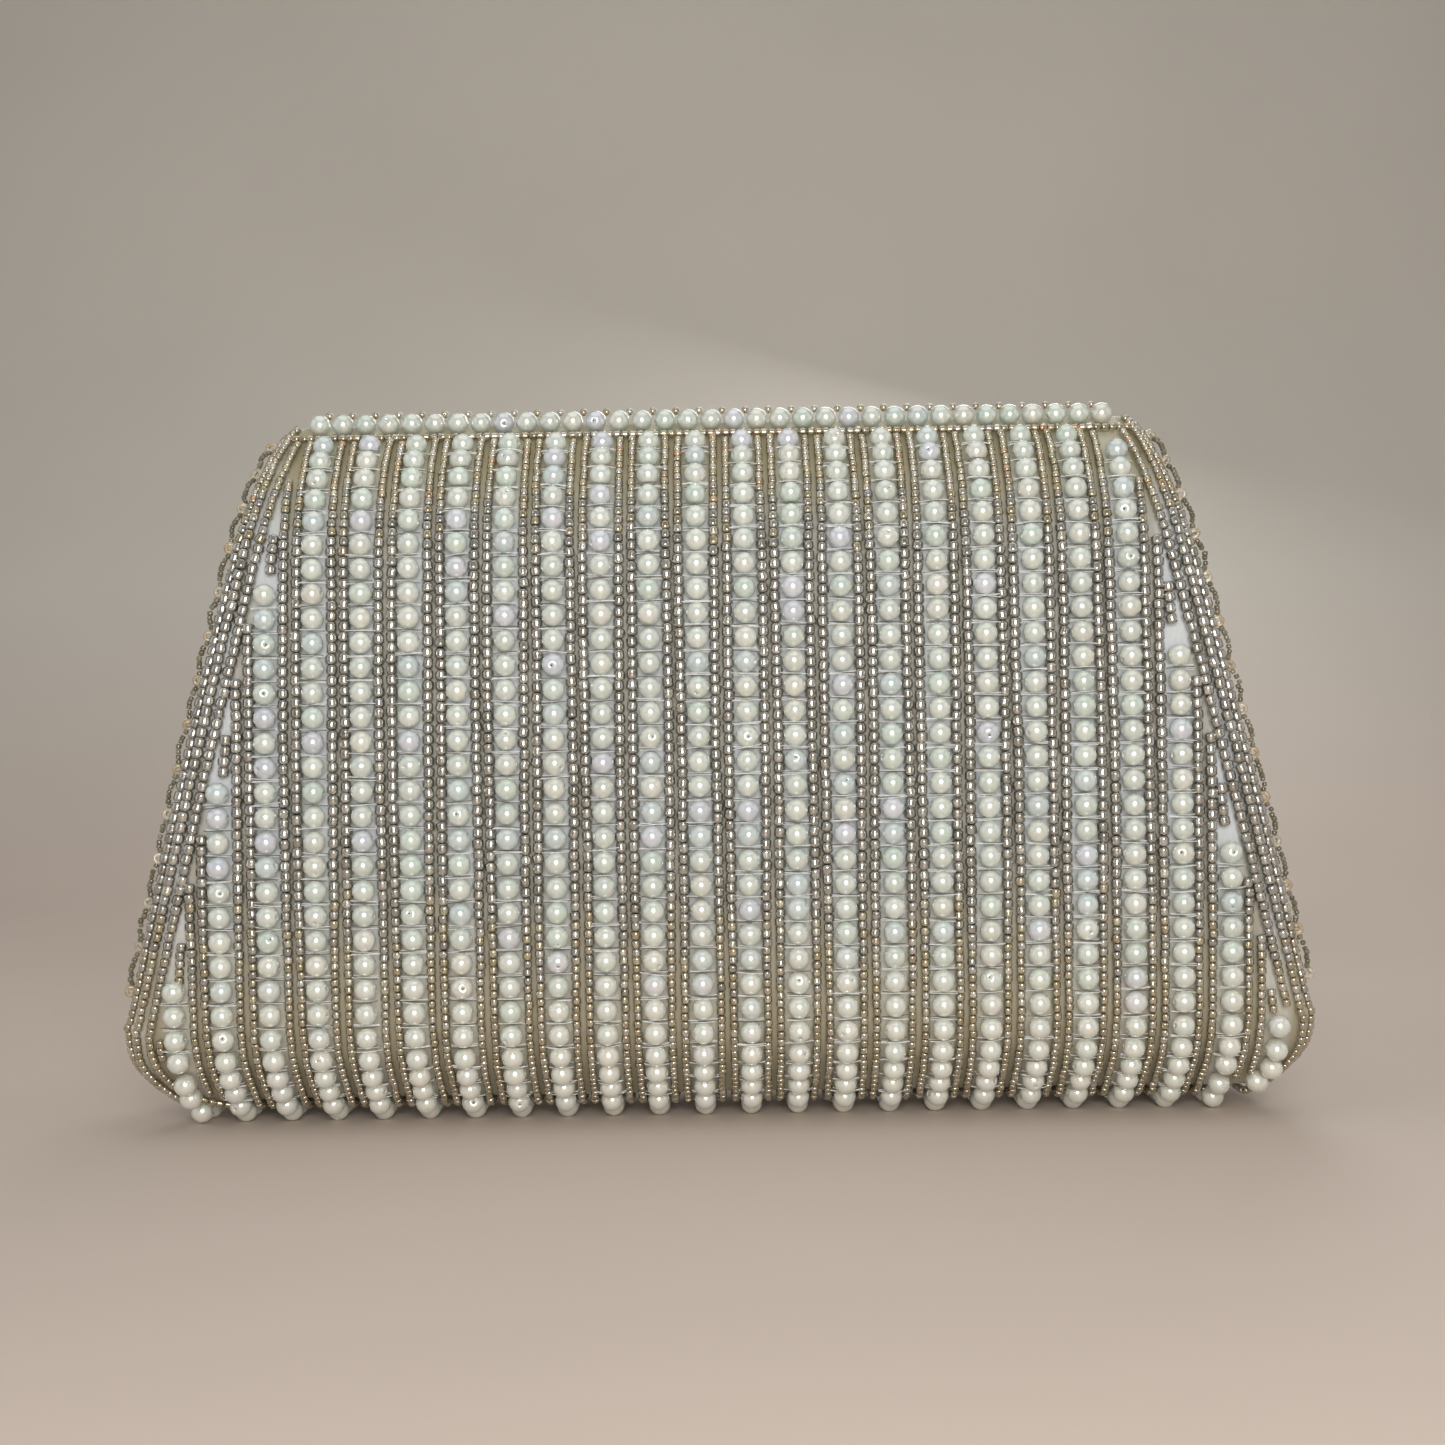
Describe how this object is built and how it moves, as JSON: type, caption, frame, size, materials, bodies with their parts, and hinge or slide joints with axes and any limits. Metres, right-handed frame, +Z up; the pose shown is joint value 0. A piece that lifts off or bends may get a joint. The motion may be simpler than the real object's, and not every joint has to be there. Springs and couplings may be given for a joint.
{
  "type": "evening bag",
  "caption": "Fold-over flap clutch of satin, beaded all over with rows of pearls and strands of seed beads, with a hinged flap, lined compartment and press stud.",
  "frame": {"origin": "centre of the bag's overall box, on the surface that it stands on", "axes": "+X along the width, to the right seen from the back; +Y from the back to the flap's side; +Z up"},
  "size_m": [0.2088, 0.0476, 0.1288],
  "materials": {
    "pearl": "imitation pearl, ivory to white with a cool nacre rim",
    "seed_bead": "silver-lined clear glass seed beads, champagne near the top and bottom",
    "gold_bead": "champagne and gold glass beads",
    "dark_bead": "dark olive transparent glass beads",
    "satin": "pale silver-white satin",
    "lining_cloth": "ivory satin lining",
    "binding_tape": "ribbed ribbon",
    "stiffener": "pressed paper board",
    "press_stud_metal": "nickel"
  },
  "bodies": {
    "bag": {"outer_cloth": "satin", "back_board": "stiffener", "base_board": "stiffener", "front_board": "stiffener", "body_lining": "lining_cloth", "left_side_piping": "satin", "right_side_piping": "satin", "left_gusset": "satin", "right_gusset": "satin", "slip_pocket": "lining_cloth", "pocket_binding": "binding_tape", "mouth_binding": "binding_tape", "snap_socket": "press_stud_metal", "fold_pearls": "pearl", "fold_accent_beads": "gold_bead", "fold_seed_strand": "seed_bead", "back_pearls": "pearl", "front_pearls": "pearl", "foot_pearls": "pearl", "underside_pearls": "pearl", "back_seed_strands": "seed_bead", "underside_seed_strands": "seed_bead", "front_seed_strands": "seed_bead", "back_edge_seeds": "seed_bead", "front_edge_seeds": "seed_bead", "side_picot_beads": "gold_bead", "side_scallops": "dark_bead"},
    "flap": {"flap_cloth": "satin", "flap_board": "stiffener", "flap_lining": "lining_cloth", "snap_stud": "press_stud_metal", "flap_pearls": "pearl", "flap_seed_strands": "seed_bead", "flap_edge_seeds": "seed_bead", "flap_picot_beads": "gold_bead", "flap_scallops": "dark_bead"}
  },
  "joints": [
    {"name": "flap_hinge", "type": "hinge", "parent": "bag", "child": "flap", "pos_m": [0, 0, 0.1271], "axis": [1, 0, 0], "range_deg": [0, 150]}
  ]
}
